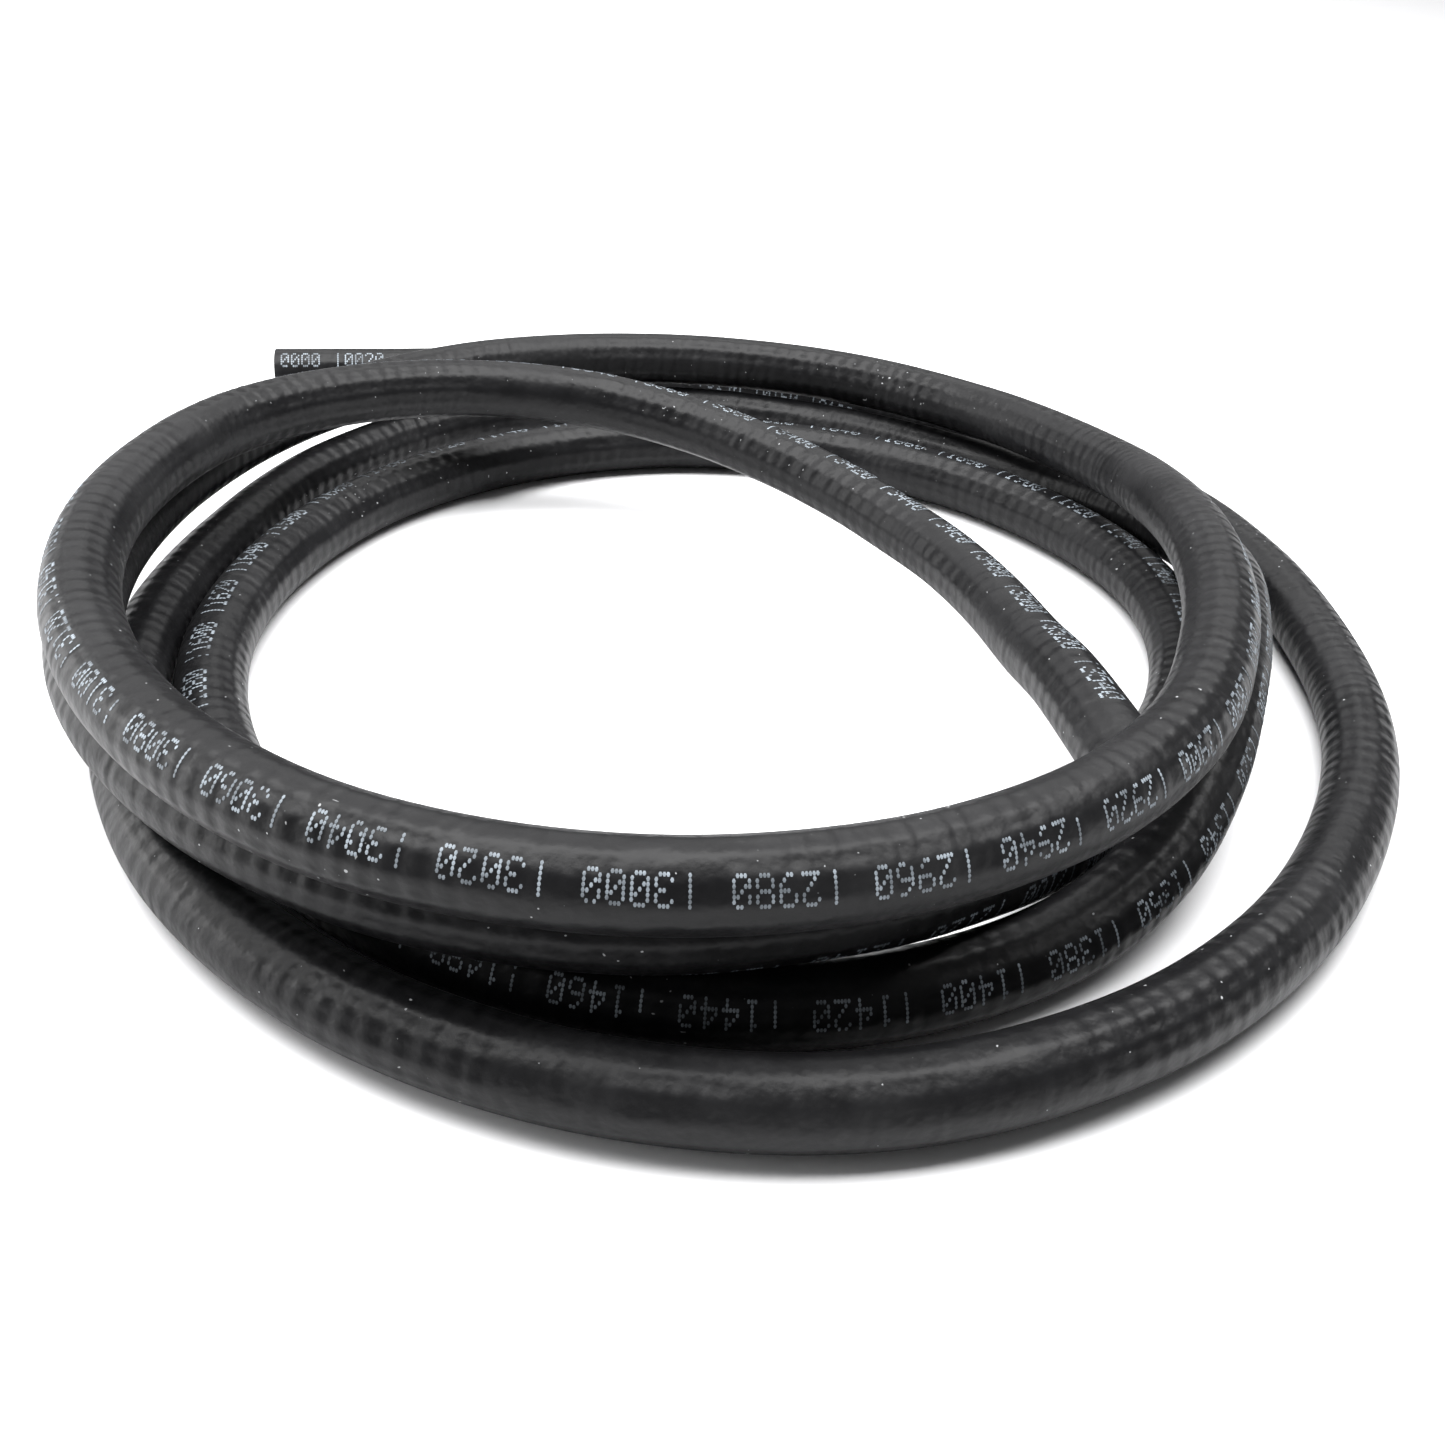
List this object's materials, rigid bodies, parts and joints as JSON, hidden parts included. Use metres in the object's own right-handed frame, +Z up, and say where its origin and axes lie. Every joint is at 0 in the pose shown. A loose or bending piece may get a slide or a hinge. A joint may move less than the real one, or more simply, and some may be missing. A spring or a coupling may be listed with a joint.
{
  "type": "fuel hose",
  "caption": "Length of 3/8 in rubber fuel hose, cut square at both ends and lying in loose stacked turns.",
  "frame": {"origin": "middle of the hose's box, on the surface it lies on", "axes": "+Z up; the first cut end points to -X at the back left, the second points to -Y inside the coil"},
  "size_m": [0.2978, 0.3414, 0.0457],
  "materials": {
    "hose_rubber": "satin"
  },
  "bodies": {
    "root": {"hose": "hose_rubber"}
  },
  "joints": []
}
